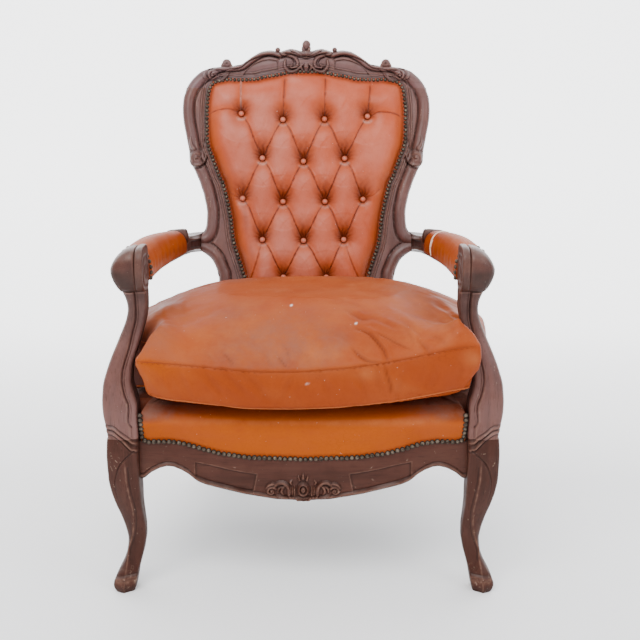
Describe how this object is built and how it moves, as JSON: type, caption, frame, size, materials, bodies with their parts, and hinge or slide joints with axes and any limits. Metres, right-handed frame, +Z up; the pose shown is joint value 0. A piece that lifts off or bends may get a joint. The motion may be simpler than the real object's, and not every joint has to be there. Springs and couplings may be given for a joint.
{
  "type": "carved open armchair",
  "caption": "Old carved wood armchair with a deep tufted leather back, padded arms, dome nails and a loose, sagging leather seat cushion.",
  "frame": {"origin": "middle of the chair's bounding box, on the floor", "axes": "+X to the right seen from the front, +Y from the front towards the back, +Z up"},
  "size_m": [0.733, 0.7106, 1.03],
  "materials": {
    "carved_wood": "dark brown stain under old rubbed polish, edges worn lighter",
    "plain_wood": "unstained sawn beech",
    "back_leather": "tan leather, darkened to red-brown in the folds",
    "seat_leather": "tan leather, scuffed, dusty grey in patches",
    "arm_leather": "tan leather, torn finish at one arm",
    "button_leather": "leather covered buttons",
    "dome_nails": "antique dull brass, tarnished",
    "spring_steel": "dull coppered spring wire",
    "jute_webbing": "woven jute",
    "hessian": "coarse hessian",
    "black_cambric": "thin black cotton"
  },
  "bodies": {
    "root": {"arm_pad_left": "arm_leather", "arm_pad_right": "arm_leather", "arm_rail_left": "carved_wood", "arm_rail_right": "carved_wood", "arm_support_left": "carved_wood", "arm_support_right": "carved_wood", "back_hessian": "hessian", "back_lower_rail": "carved_wood", "back_pad": "back_leather", "back_stile_left": "carved_wood", "back_stile_right": "carved_wood", "button_a1": "button_leather", "button_a2": "button_leather", "button_a3": "button_leather", "button_a4": "button_leather", "button_b1": "button_leather", "button_b2": "button_leather", "button_b3": "button_leather", "button_c1": "button_leather", "button_c2": "button_leather", "button_c3": "button_leather", "button_c4": "button_leather", "button_d1": "button_leather", "button_d2": "button_leather", "button_d3": "button_leather", "button_e1": "button_leather", "button_e2": "button_leather", "corner_block_front_left": "plain_wood", "corner_block_front_right": "plain_wood", "corner_block_rear_left": "plain_wood", "corner_block_rear_right": "plain_wood", "crest_rail": "carved_wood", "deck_pad": "seat_leather", "dust_cover": "black_cambric", "front_leg_left": "carved_wood", "front_leg_right": "carved_wood", "nails_arm_left": "dome_nails", "nails_arm_right": "dome_nails", "nails_back_front": "dome_nails", "nails_outer_back": "dome_nails", "nails_seat_front": "dome_nails", "nails_seat_left": "dome_nails", "nails_seat_right": "dome_nails", "outer_back_panel": "back_leather", "seat_cushion": "seat_leather", "seat_rail_back": "carved_wood", "seat_rail_front": "carved_wood", "seat_rail_left": "carved_wood", "seat_rail_right": "carved_wood", "spring_front_left": "spring_steel", "spring_front_right": "spring_steel", "spring_hessian": "hessian", "spring_middle": "spring_steel", "spring_rear_left": "spring_steel", "spring_rear_right": "spring_steel", "webbing_cross_front": "jute_webbing", "webbing_cross_rear": "jute_webbing", "webbing_long_left": "jute_webbing", "webbing_long_middle": "jute_webbing", "webbing_long_right": "jute_webbing"}
  },
  "joints": []
}
